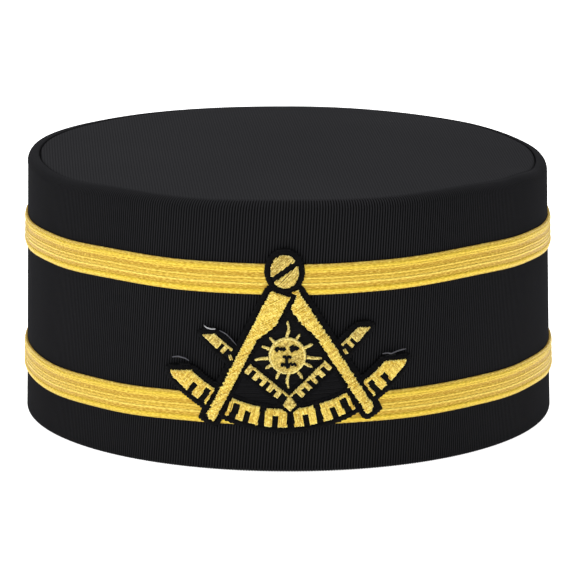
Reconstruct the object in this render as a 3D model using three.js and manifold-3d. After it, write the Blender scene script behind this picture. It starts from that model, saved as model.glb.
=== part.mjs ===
// A ceremonial crown cap: a low oval pillbox of black ribbed cloth with a set-in flat top,
// two woven gold braids round its wall and an embroidered compasses emblem on its front.
// Millimetres, +Z up. The foot stands on z = 0, the front of the cap faces -Y.
import * as THREE from "three";
import { mergeVertices } from "three/addons/utils/BufferGeometryUtils.js";
import Module from "manifold-3d";

const wasm = await Module();
wasm.setup();

// The oval wall
const capWidth = 175.2; // outside the foot, ear to ear
const capDepth = 209.8; // outside the foot, front to back
const capHeight = 85; // from the foot to the seam of the top
const wallThickness = 2.4;
const rimDrawIn = 1.1; // how much further in the wall stands at its rim than at its foot
const rimRise = 2.4; // the most that the rim stands off level
const hemRound = 0.8;
const shoulderRadius = 3.4;
const leastInsideRound = 0.2; // under the shoulder
const lipFlat = 0.4; // level strip of wall cloth between the shoulder and the seam
const segments = 96; // facets round the oval
const shoulderSteps = 5;
const insideSteps = 2;

// The set-in top
const seamGap = 0.3;
const topThickness = 2.2;
const topEdgeRound = 0.8;
const topDome = 1.2;
const edgeCorner = 0.3; // of the edge's round, how far its one corner is cut in
const domeRows = [0, 0.35, 0.7]; // shares of the way from the middle to the edge

// The braids
const lowerBraidWidth = 9.5;
const upperBraidWidth = 9.75;
const braidThickness = 0.75;
const lowerBraidHeight = 15.25; // from the foot to the braid's lower edge
const upperBraidDrop = 28.3; // from the seam to the braid's lower edge
const braidRise = 1.2; // the most that a braid stands off level
const layerGap = 0.25; // clearance between layers that lie on each other
const mergeWithin = 1e-4; // corners this close are one

// The cap is made by hand and isn't quite even. By angle from the front round to the right:
// how the rim and the braids stand off level and how far the rim draws in, as shares of the
// sizes above.
const uneven = [
  { at: -180, rim: -0.16, upper: -0.7, lower: -0.8, drawIn: 0.95 },
  { at: -135, rim: 0, upper: -0.6, lower: -0.8, drawIn: 0.7 },
  { at: -105, rim: 0.15, upper: -0.52, lower: -0.81, drawIn: 0.55 },
  { at: -80, rim: 0, upper: -0.52, lower: -0.81, drawIn: 1.15 },
  { at: -60, rim: -0.15, upper: -0.2, lower: -1, drawIn: 1.05 },
  { at: -40, rim: 0.32, upper: 0.27, lower: -0.62, drawIn: 1 },
  { at: -20, rim: 0.15, upper: 0.07, lower: -0.24, drawIn: 1 },
  { at: 0, rim: 0.4, upper: 0, lower: 0, drawIn: 1 },
  { at: 20, rim: 0.29, upper: 0.08, lower: 0.23, drawIn: 1 },
  { at: 40, rim: 0.45, upper: 0.66, lower: 0.16, drawIn: 1.03 },
  { at: 60, rim: -0.06, upper: 0, lower: -0.3, drawIn: 1.08 },
  { at: 80, rim: -0.98, upper: -1, lower: -0.83, drawIn: 1.65 },
  { at: 105, rim: -0.75, upper: -1, lower: -0.83, drawIn: 1.25 },
  { at: 135, rim: -0.4, upper: -0.85, lower: -0.83, drawIn: 1.45 },
  { at: 180, rim: -0.16, upper: -0.7, lower: -0.8, drawIn: 0.95 },
];

// The emblem, measured from the middle of its sun and before its turn
const emblemDrop = 3.05; // of the sun's middle below the middle between the braids
const emblemAside = -0.33; // of the sun's middle, to the right of the cap's middle
const emblemTurn = 2.75; // degrees anticlockwise, of all but the sun
const patchCover = 0.5; // thickness of the black patch where it lies over a braid
const threadRise = 0.7; // thickness of the gold embroidery
const border = 1.9; // black cloth that shows round the gold
const borderEnd = {
  shoulder: 0.5, // shares of the border, past the strip's own corners
  corner: { along: 0.4, across: 0.8 },
  point: { along: 1, across: -0.3 },
};
const threadGap = 0.6; // least black between two gold shapes
const headSteps = 24;
const sunSteps = 28;

// The compasses
const pivotHeight = 26.6; // above the sun's middle
const pivotAside = 0.4;
const headWidth = 9;
const headHeight = 10.6;
const headGap = 1.4; // black ring between the screw head and the legs
const slotAngle = 32; // degrees
const slotWidth = 1.6;
const slotDepth = 0.4;
const legAngle = 29.5; // degrees from upright
const legWidth = 3.3;
const legTop = 20.7; // height of a leg's outer upper corner above the sun's middle
const legSpread = 4.32; // of that corner from the centre line
const footDrop = 19.1; // of a leg's outer lower corner below the sun's middle
const footChamfer = 1.4; // off a foot's outer corner
const bladeRise = 1.2; // how much further up a blade's inner edge goes than its outer edge
const bladeStraight = 8.9; // along the leg from its top, where the blade starts to narrow
const bladeEnd = 15.9;
const leftBlade = 6.5;
const rightBlade = 5.1;
const crossGap = 1.5; // black line between the left leg and the right one that it crosses

// The sun
const sunRadius = 5.85;
const rayReach = 11; // of the longest ray, from the sun's middle
const rayWidth = 1.1;
const rayTaper = 0.72; // width at a ray's tip, as a share of its width
const rays = [
  { at: 90, share: 1 },
  { at: 61, share: 0.71 },
  { at: 25, share: 0.79 },
  { at: -5, share: 0.98 },
  { at: -27, share: 0.79 },
  { at: -57, share: 0.78 },
  { at: -88, share: 0.93 },
  { at: -116, share: 0.74 },
  { at: -149, share: 0.73 },
  { at: -172, share: 0.94 },
  { at: 160, share: 0.78 },
  { at: 134, share: 0.73 },
];

// The square. Blocks of teeth hang from each arm, placed by shares of the arm's length from
// its vertex.
const squareDrop = 12.65; // of its vertex below the sun's middle
const squareAngle = 41.7; // degrees, each arm above the level
const squareArm = 32.9;
const squareBand = 3.3;
const squareSpine = 0.8; // strip that joins the blocks
const squareNotchSpine = 1.5; // strip above the notch in a block
const squareBlocks = [
  { from: 0.064, notch: [0.116, 0.158], to: 0.213 },
  { from: 0.246, notch: [0.295, 0.337], to: 0.386 },
  { from: 0.422, notch: null, to: 0.48 },
];
const squareTip = {
  start: 0.69,
  blocks: [
    { from: 0.73, notch: null, to: 0.772 },
    { from: 0.802, notch: null, to: 0.851 },
  ],
  shoulder: 0.915,
  point: { at: 1, across: 0.89 },
};
const diamondHalf = 2.2;
const diamondDrop = 3.05; // of its middle below the square's vertex

// The quadrant. Its blocks are placed by shares of its half span from the centre line.
const quadrantCentre = 26.35; // above the sun's middle
const quadrantInner = 43.25;
const quadrantSpan = 50.2; // degrees from the centre line to a tip
const quadrantBand = 6;
const quadrantSpine = 1.2;
const quadrantNotchSpine = 2.4;
const quadrantSteps = 4; // straight pieces in one strip's edge
const quadrantBorderSteps = 10;
const quadrantParts = [
  {
    name: "inner",
    start: 0.067,
    end: 0.198,
    blocks: [{ from: 0.026, notch: [0.097, 0.139], to: 0.198 }],
  },
  {
    name: "outer",
    start: 0.243,
    end: 0.491,
    blocks: [
      { from: 0.243, notch: [0.313, 0.355], to: 0.41 },
      { from: 0.46, notch: null, to: 0.491 },
    ],
  },
];
const quadrantTip = {
  start: 0.645,
  blocks: [
    { from: 0.645, notch: null, to: 0.667 },
    { from: 0.711, notch: [0.775, 0.815], to: 0.957 },
  ],
  shoulder: 0.892,
  point: { at: 1, across: 0.9 },
};

const radians = THREE.MathUtils.degToRad;
const shoulderHeight = capHeight - shoulderRadius;
const seamInset = shoulderRadius + lipFlat;
const upperBraidHeight = capHeight - upperBraidDrop;
const braids = [
  { name: "lower", foot: lowerBraidHeight, width: lowerBraidWidth },
  { name: "upper", foot: upperBraidHeight, width: upperBraidWidth },
];
const betweenBraids = (lowerBraidHeight + lowerBraidWidth + upperBraidHeight) / 2;
const emblemHeight = betweenBraids - emblemDrop;
const braidClearance = 2 * layerGap + braidThickness; // from the wall to past a braid's face
const patchFace = braidClearance + patchCover;
const threadBase = patchFace + layerGap;
const threadFace = threadBase + threadRise;

// Braid section: share of the width from the lower edge, share of the thickness
const braidSection = [
  { across: 0, rise: 0.55 },
  { across: 0.06, rise: 0.9 },
  { across: 0.18, rise: 1 },
  { across: 0.3, rise: 0.62 },
  { across: 0.4, rise: 0.92 },
  { across: 0.6, rise: 0.92 },
  { across: 0.7, rise: 0.62 },
  { across: 0.86, rise: 1 },
  { across: 1, rise: 0.55 },
];

const black = new THREE.MeshStandardMaterial({ color: 0x1c1c1e, roughness: 0.75 });
const blackSatin = new THREE.MeshStandardMaterial({ color: 0x0e0e10, roughness: 0.6 });
const braidGold = new THREE.MeshStandardMaterial({
  color: 0xe0b93a,
  roughness: 0.38,
  metalness: 0.45,
});
const threadGold = new THREE.MeshStandardMaterial({
  color: 0xe4c262,
  roughness: 0.45,
  metalness: 0.3,
});

// Where a point of the wall stands: angle 0 is the front, and out is measured square to
// the foot's oval.
function ovalPoint(angle, out) {
  const halfWidth = capWidth / 2;
  const halfDepth = capDepth / 2;
  const x = halfWidth * Math.sin(angle);
  const y = -halfDepth * Math.cos(angle);
  const normal = new THREE.Vector2(x / halfWidth ** 2, y / halfDepth ** 2).normalize();
  return new THREE.Vector2(x, y).addScaledVector(normal, out);
}

// What the table says of a size at an angle, eased from one row to the next
function unevenAt(size, angle) {
  const degrees = THREE.MathUtils.radToDeg(angle);
  const after = uneven.find(({ at }) => at > degrees) ?? uneven.at(-1);
  const before = uneven[uneven.indexOf(after) - 1];
  const ease = THREE.MathUtils.smoothstep(degrees, before.at, after.at);
  return THREE.MathUtils.lerp(before[size], after[size], ease);
}

// How far a point of the wall stands off its drawn height. Each braid rises and drops as a
// whole, and the cloth above and below follows it.
function liftAt(angle, height) {
  const stops = [
    { at: 0, lift: 0 },
    ...braids.flatMap(({ name, foot, width }) => {
      const lift = braidRise * unevenAt(name, angle);
      return [
        { at: foot, lift },
        { at: foot + width, lift },
      ];
    }),
    { at: capHeight, lift: rimRise * unevenAt("rim", angle) },
  ];
  const level = Math.min(height, capHeight);
  const above = Math.max(1, stops.findIndex(({ at }) => at >= level));
  const [low, high] = [stops[above - 1], stops[above]];
  return THREE.MathUtils.mapLinear(level, low.at, high.at, low.lift, high.lift);
}

// Turns a section round the oval. Each point is (out from the foot's oval, height); inside
// the edge line a point keeps its share of the way to the middle.
const roundRadius = (capWidth + capDepth) / 4;
function roundTheCap(section, edge = -roundRadius) {
  const points = section.map(([out, up]) => new THREE.Vector2(roundRadius + out, up));
  const geometry = new THREE.LatheGeometry(points, segments);
  geometry.rotateX(Math.PI / 2);
  const place = geometry.attributes.position;
  const edgeRadius = roundRadius + edge;
  for (let i = 0; i < place.count; i++) {
    const radius = Math.hypot(place.getX(i), place.getY(i));
    const angle = Math.atan2(place.getX(i), -place.getY(i));
    const height = place.getZ(i);
    const drawIn = (rimDrawIn * unevenAt("drawIn", angle) * height) / capHeight;
    const out = Math.max(radius, edgeRadius) - roundRadius - drawIn;
    const inward = Math.min(1, radius / edgeRadius);
    const spot = ovalPoint(angle, out).multiplyScalar(inward);
    place.setXYZ(i, spot.x, spot.y, height + liftAt(angle, height) * inward ** 2);
  }
  return geometry;
}

function arcPoints(middle, radius, fromAngle, toAngle, steps) {
  return Array.from({ length: steps + 1 }, (_, i) => {
    const angle = radians(fromAngle + ((toAngle - fromAngle) * i) / steps);
    return [middle[0] + radius * Math.cos(angle), middle[1] + radius * Math.sin(angle)];
  });
}

// Side wall with its hem and the shoulder that rolls in to the seam
function sideGeometry() {
  const centre = [-shoulderRadius, shoulderHeight];
  const insideRadius = Math.max(leastInsideRound, shoulderRadius - wallThickness);
  const insideCentre = [-wallThickness - insideRadius, capHeight - wallThickness - insideRadius];
  const section = [
    [-wallThickness, 0],
    [-hemRound, 0],
    [0, hemRound],
    ...arcPoints(centre, shoulderRadius, 0, 90, shoulderSteps),
    [-seamInset, capHeight],
    [-seamInset, capHeight - wallThickness],
    ...arcPoints(insideCentre, insideRadius, 90, 0, insideSteps),
    [-wallThickness, 0],
  ];
  return roundTheCap(section);
}

// The top, a slightly domed plate that fits inside the lip of the wall
function topGeometry() {
  const edge = -seamInset - seamGap;
  const flatEdge = edge - topEdgeRound;
  const under = capHeight - topThickness;
  const domeRow = (share, base) => [
    (roundRadius + flatEdge) * share - roundRadius,
    base + topDome * (1 - share ** 2),
  ];
  const cut = edgeCorner * topEdgeRound;
  const section = [
    ...domeRows.map((share) => domeRow(share, under)),
    [edge, under],
    [edge, capHeight - topEdgeRound],
    [edge - cut, capHeight - cut],
    [flatEdge, capHeight],
    ...domeRows.toReversed().map((share) => domeRow(share, capHeight)),
  ];
  return roundTheCap(section, flatEdge);
}

function braidGeometry({ foot, width }) {
  const section = [
    [layerGap, foot + width],
    [layerGap, foot],
    ...braidSection.map(({ across, rise }) => [
      layerGap + braidThickness * rise,
      foot + width * across,
    ]),
    [layerGap, foot + width],
  ];
  return roundTheCap(section);
}

function toSolid(geometry) {
  const bare = geometry.clone();
  bare.deleteAttribute("normal");
  bare.deleteAttribute("uv");
  const merged = mergeVertices(bare, mergeWithin);
  return new wasm.Manifold(
    new wasm.Mesh({
      numProp: 3,
      vertProperties: new Float32Array(merged.attributes.position.array),
      triVerts: new Uint32Array(merged.index.array),
    }),
  );
}

function toGeometry(solid) {
  const mesh = solid.getMesh();
  const geometry = new THREE.BufferGeometry();
  const place = new THREE.BufferAttribute(new Float32Array(mesh.vertProperties), 3);
  geometry.setAttribute("position", place);
  geometry.setIndex(new THREE.BufferAttribute(mesh.triVerts, 1));
  geometry.computeVertexNormals();
  return geometry;
}

// A layer of the wall between two distances out from it
function wallLayer(inside, outside, from = 0, to = capHeight) {
  return toSolid(
    roundTheCap([
      [inside, to],
      [inside, from],
      [outside, from],
      [outside, to],
      [inside, to],
    ]),
  );
}

// A flat emblem shape pushed straight through the front of the cap
function stamp(outline, turn = emblemTurn) {
  const shape = new THREE.Shape(outline.map(([x, y]) => new THREE.Vector2(x, y)));
  const geometry = new THREE.ExtrudeGeometry(shape, { depth: capDepth, bevelEnabled: false });
  geometry.rotateZ(radians(turn));
  geometry.translate(emblemAside, emblemHeight, 0);
  geometry.rotateX(Math.PI / 2);
  return toSolid(geometry);
}

function joined(solids) {
  return solids.reduce((all, one) => all.add(one));
}

const mirrored = (outline) => outline.map(([x, y]) => [-x, y]);

function ellipse(middle, width, height, steps) {
  return Array.from({ length: steps }, (_, i) => {
    const angle = (2 * Math.PI * i) / steps;
    return [
      middle[0] + (width / 2) * Math.cos(angle),
      middle[1] + (height / 2) * Math.sin(angle),
    ];
  });
}

// A point given along and across a direction that starts at a place
function turned([x, y], degrees, along, across) {
  const angle = radians(degrees);
  return [
    x + along * Math.cos(angle) - across * Math.sin(angle),
    y + along * Math.sin(angle) + across * Math.cos(angle),
  ];
}

const legLength = (legTop + footDrop) / Math.cos(radians(legAngle));

// A point by the right leg: how far down its outer edge, how far in from that edge
const besideLeg = (down, inward) =>
  turned([legSpread, legTop], legAngle - 90, down, -inward);

// One leg of the compasses, grown by a margin: a wide blade above, a slim shank below
function legOutline(blade, grow) {
  const chamfer = footChamfer - grow * (Math.SQRT2 - 1);
  return [
    besideLeg(-grow, -grow),
    besideLeg(-bladeRise - grow, blade + grow),
    besideLeg(bladeStraight, blade + grow),
    besideLeg(bladeEnd, legWidth + grow),
    besideLeg(legLength + grow, legWidth + grow),
    besideLeg(legLength + grow, chamfer - grow),
    besideLeg(legLength + grow - chamfer, -grow),
  ];
}

function headOutline(grow) {
  const middle = [pivotAside, pivotHeight];
  return ellipse(middle, headWidth + 2 * grow, headHeight + 2 * grow, headSteps);
}

function slotOutline() {
  const middle = [pivotAside, pivotHeight];
  return [
    turned(middle, slotAngle, -headHeight, -slotWidth / 2),
    turned(middle, slotAngle, headHeight, -slotWidth / 2),
    turned(middle, slotAngle, headHeight, slotWidth / 2),
    turned(middle, slotAngle, -headHeight, slotWidth / 2),
  ];
}

function rayOutline({ at, share }, grow) {
  const root = sunRadius / 2;
  const tip = rayReach * share + grow;
  const rootHalf = rayWidth / 2 + grow;
  const tipHalf = (rayWidth * rayTaper) / 2 + grow;
  return [
    turned([0, 0], at, root, -rootHalf),
    turned([0, 0], at, tip, -tipHalf),
    turned([0, 0], at, tip, tipHalf),
    turned([0, 0], at, root, rootHalf),
  ];
}

// A point by the right arm of the square: a share of its length, down from its upper edge
const onArm = (share, down) =>
  turned([0, -squareDrop], squareAngle, share * squareArm, -down);

// A point by the right half of the quadrant: a share of the way to its tip, out from its
// inner edge
const onArc = (share, outward) =>
  turned([0, quadrantCentre], share * quadrantSpan - 90, quadrantInner + outward, 0);

function alongTo(place, from, to, across, steps) {
  return Array.from({ length: steps + 1 }, (_, i) =>
    place(from + ((to - from) * i) / steps, across),
  );
}

// A strip with blocks of teeth below it. Where there is a point, the last block runs on
// to it.
function combOutline(place, sizes, { start, end, blocks, shoulder, point }) {
  const { band, spine, notchSpine, steps } = sizes;
  const block = ({ from, notch, to }) => [
    place(from, spine),
    place(from, band),
    ...(notch ? [place(notch[0], band), place(notch[0], notchSpine)] : []),
    ...(notch ? [place(notch[1], notchSpine), place(notch[1], band)] : []),
    place(to, band),
    place(to, spine),
  ];
  const under = [...(blocks[0].from > start ? [place(start, spine)] : []), ...blocks.flatMap(block)];
  if (!point) return [...alongTo(place, end, start, 0, steps), ...under];
  const closing = [place(point.at, point.across * band)];
  return [...alongTo(place, shoulder, start, 0, steps), ...under.slice(0, -1), ...closing];
}

const squareSizes = {
  length: squareArm,
  band: squareBand,
  spine: squareSpine,
  notchSpine: squareNotchSpine,
  steps: 1,
};
const quadrantSizes = {
  length: radians(quadrantSpan) * (quadrantInner + quadrantBand),
  band: quadrantBand,
  spine: quadrantSpine,
  notchSpine: quadrantNotchSpine,
  steps: quadrantSteps,
};

// The black border round a strip and its pointed end, from just past the centre line. The
// length is that of a whole share, along the strip.
function stripBorder(place, { band, length }, { blocks, shoulder, point }, steps) {
  const reach = border / length;
  const across = point.across * band;
  return [
    ...alongTo(place, shoulder + reach * borderEnd.shoulder, -reach, -border, steps),
    ...alongTo(place, -reach, blocks.at(-1).to, band + border, steps),
    ...[borderEnd.corner, borderEnd.point].map((past) =>
      place(point.at + reach * past.along, across + border * past.across),
    ),
  ];
}

// The black patch under the gold: every shape with its border, and the ground between the
// legs filled down to the quadrant
function patchSolid() {
  const groundInset = legWidth / 2;
  const groundReach = { from: quadrantParts[0].start, to: quadrantParts.at(-1).end };
  const halfGround = [
    besideLeg(0, groundInset),
    besideLeg(legLength - border - groundInset, groundInset),
    ...alongTo(onArc, groundReach.to, groundReach.from, quadrantBand / 2, quadrantSteps),
  ];
  const ground = [...halfGround, ...mirrored(halfGround).reverse()];
  const halves = [
    stripBorder(onArm, squareSizes, squareTip, 1),
    stripBorder(onArc, quadrantSizes, quadrantTip, quadrantBorderSteps),
  ];
  const outlines = [
    ground,
    headOutline(border),
    legOutline(rightBlade, border),
    mirrored(legOutline(leftBlade, border)),
    ...halves,
    ...halves.map(mirrored),
  ];
  const overBraids = braids.map(({ foot, width }) =>
    wallLayer(0, braidClearance, foot - layerGap, foot + width + layerGap),
  );
  return joined(outlines.map((outline) => stamp(outline)))
    .intersect(wallLayer(layerGap, patchFace))
    .subtract(joined(overBraids));
}

const threadLayer = wallLayer(threadBase, threadFace);

function embroidered(...outlines) {
  return joined(outlines.map((outline) => stamp(outline))).intersect(threadLayer);
}

// The screw head of the compasses, with a slot sunk into it
function headSolid() {
  const slotLayer = wallLayer(threadFace - slotDepth, threadFace + slotDepth);
  return embroidered(headOutline(0)).subtract(stamp(slotOutline()).intersect(slotLayer));
}

// The legs stop short of the screw head, and the left one crosses over the right one
const headClearance = stamp(headOutline(headGap));
const leftOutline = (grow) => mirrored(legOutline(leftBlade, grow));

function leftLegSolid() {
  return embroidered(leftOutline(0)).subtract(headClearance);
}

function rightLegSolid() {
  return embroidered(legOutline(rightBlade, 0))
    .subtract(headClearance)
    .subtract(stamp(leftOutline(crossGap)));
}

const legClearance = joined([
  stamp(leftOutline(threadGap)),
  stamp(legOutline(rightBlade, threadGap)),
]);

function sunShape(grow) {
  const width = 2 * (sunRadius + grow);
  const disc = ellipse([0, 0], width, width, sunSteps);
  const outlines = [disc, ...rays.map((ray) => rayOutline(ray, grow))];
  return joined(outlines.map((outline) => stamp(outline, 0)));
}

const sun = sunShape(0).intersect(threadLayer).subtract(legClearance);
const sunClearance = sunShape(threadGap);

// The square's two arms meet over a diamond. The legs and the sun lie over them.
function squareAngleShape() {
  const arm = combOutline(onArm, squareSizes, {
    start: 0,
    end: squareBlocks.at(-1).to,
    blocks: squareBlocks,
  });
  return joined([arm, mirrored(arm), diamondOutline(0)].map((outline) => stamp(outline)));
}

function diamondOutline(grow) {
  const middle = -squareDrop - diamondDrop;
  const half = diamondHalf + grow * Math.SQRT2;
  return [
    [half, middle],
    [0, squareSpine / 2 - squareDrop],
    [-half, middle],
    [0, middle - half],
  ];
}

function squareAngleSolid() {
  return squareAngleShape().intersect(threadLayer).subtract(legClearance).subtract(sunClearance);
}

// The quadrant passes under the legs and the square's diamond
const quadrantCover = joined([legClearance, stamp(diamondOutline(threadGap))]);

const cap = new THREE.Group();

function addPiece(name, geometry, material) {
  const mesh = new THREE.Mesh(geometry, material);
  mesh.name = name;
  cap.add(mesh);
}

function addEmbroidery(name, solid) {
  addPiece(name, toGeometry(solid), threadGold);
}

addPiece("crown_side", sideGeometry(), black);
addPiece("crown_top", topGeometry(), black);
for (const strip of braids) addPiece(`braid_${strip.name}`, braidGeometry(strip), braidGold);
addPiece("emblem_patch", toGeometry(patchSolid()), blackSatin);
addEmbroidery("compasses_head", headSolid());
addEmbroidery("compasses_leg_left", leftLegSolid());
addEmbroidery("compasses_leg_right", rightLegSolid());
addEmbroidery("sun", sun);
addEmbroidery("square_angle", squareAngleSolid());
for (const side of ["left", "right"]) {
  const facing = side === "left" ? mirrored : (outline) => outline;
  const comb = (place, sizes, strip) => embroidered(facing(combOutline(place, sizes, strip)));
  const squareEnd = comb(onArm, squareSizes, squareTip).subtract(legClearance);
  addEmbroidery(`square_tip_${side}`, squareEnd);
  for (const strip of quadrantParts) {
    const piece = comb(onArc, quadrantSizes, strip).subtract(quadrantCover);
    addEmbroidery(`quadrant_${strip.name}_${side}`, piece);
  }
  const quadrantEnd = comb(onArc, quadrantSizes, quadrantTip).subtract(legClearance);
  addEmbroidery(`quadrant_tip_${side}`, quadrantEnd);
}

export default cap;
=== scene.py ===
import math

import bpy
import numpy as np
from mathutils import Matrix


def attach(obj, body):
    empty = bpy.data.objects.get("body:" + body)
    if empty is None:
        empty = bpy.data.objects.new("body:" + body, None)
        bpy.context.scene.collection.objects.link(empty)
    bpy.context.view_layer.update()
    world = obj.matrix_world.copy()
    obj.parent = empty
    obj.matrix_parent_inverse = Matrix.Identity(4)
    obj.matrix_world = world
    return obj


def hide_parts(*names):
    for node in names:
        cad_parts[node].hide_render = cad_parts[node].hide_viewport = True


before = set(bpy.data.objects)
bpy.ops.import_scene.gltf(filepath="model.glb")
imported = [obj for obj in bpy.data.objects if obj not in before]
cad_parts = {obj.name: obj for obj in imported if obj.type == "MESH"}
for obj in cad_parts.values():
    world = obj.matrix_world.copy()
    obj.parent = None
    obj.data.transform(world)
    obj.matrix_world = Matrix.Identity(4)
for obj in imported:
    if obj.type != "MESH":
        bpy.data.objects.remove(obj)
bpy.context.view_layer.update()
chance = np.random.default_rng(11)
print("frame loaded:", len(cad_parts), "nodes")

# the camera stands in front of the cap and looks a little down on it
view = {
    "place": (-0.00016, -1.5127, 0.3334),
    "down": 0.19254,  # radians below level
    "lens": 287.94,
}
camera = bpy.data.objects.new("camera", bpy.data.cameras.new("camera"))
camera.location = view["place"]
camera.rotation_euler = (math.pi / 2 - view["down"], 0, 0)
camera.data.sensor_width = 36
camera.data.lens = view["lens"]
camera.data.clip_end = 50
bpy.context.scene.collection.objects.link(camera)
bpy.context.scene.camera = camera

# plain soft studio: white all round, one light at the left, a weak one in front and a broad one above
studio = {
    "surround": 0.3,
    "floorTone": 0.8,
    "floorGlow": 0.82,
    "floorReach": 9,
    "aim": (0, 0, 0.04),  # where the lights point
    "lights": [
        {"name": "leftSoftbox", "place": (-1.57, -0.93, 0.9), "size": 0.7, "power": 9},
        {"name": "frontSoftbox", "place": (0.5, -1.9, 0.9), "size": 1.2, "power": 6},
        {"name": "topSoftbox", "place": (0.0, 0.3, 1.8), "size": 1.2, "power": 38},
    ],
}


def linear(red, green, blue):  # a colour as seen on screen, 0 to 255
    shown = [part / 255 for part in (red, green, blue)]
    parts = [share / 12.92 if share < 0.0404 else ((share + 0.055) / 1.055) ** 2.4 for share in shown]
    return (*parts, 1)


class Wire:  # a socket that can be used in sums
    def __init__(self, finish, socket):
        self.finish, self.socket = finish, socket

    def maths(self, operation, *values):
        return self.finish.node("Math", {"operation": operation}, dict(enumerate(values)))

    def __add__(self, other):
        return self.maths("ADD", self, other)

    def __radd__(self, other):
        return self.maths("ADD", other, self)

    def __sub__(self, other):
        return self.maths("SUBTRACT", self, other)

    def __rsub__(self, other):
        return self.maths("SUBTRACT", other, self)

    def __mul__(self, other):
        return self.maths("MULTIPLY", self, other)

    def __rmul__(self, other):
        return self.maths("MULTIPLY", other, self)

    def __pow__(self, other):
        return self.maths("POWER", self, other)

    def sine(self):
        return self.maths("SINE", self)


class Finish:
    def __init__(self, name):
        self.material = bpy.data.materials.new(name)
        self.material.use_nodes = True
        self.nodes = self.material.node_tree.nodes
        self.links = self.material.node_tree.links
        self.surface = self.nodes["Principled BSDF"]

    def node(self, kind, settings, inputs, output=0):
        node = self.nodes.new("ShaderNode" + kind)
        for name, value in settings.items():
            if name == "stops":
                ramp = node.color_ramp.elements
                while len(ramp) < len(value):
                    ramp.new(0.5)
                for stop, (place, colour) in zip(ramp, value):
                    stop.position, stop.color = place, colour
            else:
                setattr(node, name, value)
        self.feed(node, inputs)
        return Wire(self, node.outputs[output])

    def feed(self, node, inputs):
        for name, value in inputs.items():
            if isinstance(value, Wire):
                self.links.new(value.socket, node.inputs[name])
            else:
                node.inputs[name].default_value = value

    def attribute(self, name):
        return self.node("Attribute", {"attribute_name": name}, {}, "Fac")

    def noise(self, scale, detail=2.0):
        place = self.node("TexCoord", {}, {}, "Object")
        return self.node("TexNoise", {}, {"Vector": place, "Scale": scale, "Detail": detail}, "Fac")

    def blend(self, mask, first, second):
        return self.node("Mix", {"data_type": "RGBA"}, {0: mask, 6: first, 7: second}, 2)

    def bump(self, height, distance):
        return self.node("Bump", {}, {"Height": height, "Distance": distance, "Strength": 1.0}, "Normal")


# ribbed cloth: black yarn ribs with finer threads across them
clothLook = {
    "crest": linear(35, 35, 37),
    "crestWorn": linear(44, 44, 46),
    "grooveShade": linear(1, 1, 1),
    "roughness": 0.9,
    "gloss": 0.015,
    "patchScale": 18,
    "fuzzScale": 2600,
    "threadPitch": 0.34,
    "threadDepth": 0.00003,
}


def clothFinish():
    look = clothLook
    finish = Finish("ribbed_cloth")
    rib = finish.attribute("rib")
    along = finish.attribute("along")
    patchy = finish.noise(look["patchScale"], 3)
    fuzz = finish.noise(look["fuzzScale"], 2)
    thread = (along * (2 * math.pi / look["threadPitch"])).sine() * 0.5 + 0.5
    crest = finish.blend(patchy * 0.7 + fuzz * 0.5 - 0.1, look["crest"], look["crestWorn"])
    # painted shade: the colour darkens from crest to groove by the rib profile, standing in for the shade in
    # each groove
    colour = finish.blend(rib**1.5 * (0.85 + thread * 0.15), look["grooveShade"], crest)
    height = thread * rib * 0.6 + fuzz * 0.8
    finish.feed(
        finish.surface,
        {
            "Base Color": colour,
            "Roughness": look["roughness"] + patchy * 0.12 - fuzz * 0.08,
            "Normal": finish.bump(height, look["threadDepth"]),
            "Specular IOR Level": look["gloss"],
        },
    )
    return finish.material


# the braid's colours, by share of its width from the lower edge: its gold, with painted highlights on the
# high cords and painted shade on the low ones
braidLook = {
    "bands": [
        (0.0, linear(201, 177, 81)),
        (0.05, linear(226, 197, 66)),
        (0.1, linear(226, 192, 44)),
        (0.16, linear(234, 201, 52)),
        (0.22, linear(209, 169, 40)),
        (0.29, linear(199, 157, 35)),
        (0.36, linear(249, 225, 102)),
        (0.41, linear(216, 180, 54)),
        (0.5, linear(213, 177, 52)),
        (0.56, linear(241, 210, 84)),
        (0.61, linear(209, 169, 40)),
        (0.7, linear(201, 160, 35)),
        (0.76, linear(242, 210, 72)),
        (0.81, linear(222, 190, 47)),
        (0.89, linear(230, 198, 57)),
        (0.93, linear(203, 169, 49)),
        (0.97, linear(213, 188, 87)),
    ],
    "shade": linear(166, 124, 28),
    "glint": linear(252, 230, 124),
    "dashAlong": 0.8,  # streaks of thread, in waves per millimetre and per width
    "dashAcross": 34,
    "streakScale": 420,
    "glintScale": 3200,
    "metallic": 0.2,
    "roughness": 0.42,
    "gloss": 0.25,
    "pickPitch": 0.46,  # of the slanting cross threads
    "pickDepth": 0.00005,
}


def braidFinish():
    look = braidLook
    finish = Finish("gold_braid")
    across = finish.attribute("across")
    along = finish.attribute("along")
    deep = finish.attribute("deep")
    streak = finish.noise(look["streakScale"], 3)
    glint = finish.noise(look["glintScale"], 1)
    pick = ((along + across * 1.3) * (2 * math.pi / look["pickPitch"])).sine() * 0.5 + 0.5
    stretched = {"X": along * look["dashAlong"], "Y": across * look["dashAcross"]}
    thread = finish.node("CombineXYZ", {}, stretched)
    dash = finish.node("TexNoise", {}, {"Vector": thread, "Scale": 1.0, "Detail": 1.0}, "Fac")
    bands = finish.node("ValToRGB", {"stops": look["bands"]}, {"Fac": across}, "Color")
    # painted shade: the braid turns towards the shade colour where it sits deep between its cords, mixed
    # with streaks and dashes of thread
    dull = deep * (0.45 + streak * 0.6) + (1 - pick) * 0.12 + (dash - 0.45) * 2.0
    mixedTone = finish.blend(dull, bands, look["shade"])
    colour = finish.blend((0.5 - dash) * 1.6 + glint * 0.1, mixedTone, look["glint"])
    finish.feed(
        finish.surface,
        {
            "Base Color": colour,
            "Metallic": look["metallic"],
            "Roughness": look["roughness"] + streak * 0.14,
            "Normal": finish.bump(pick * 0.7 + glint * 0.5, look["pickDepth"]),
            "Specular IOR Level": look["gloss"],
        },
    )
    return finish.material
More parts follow.
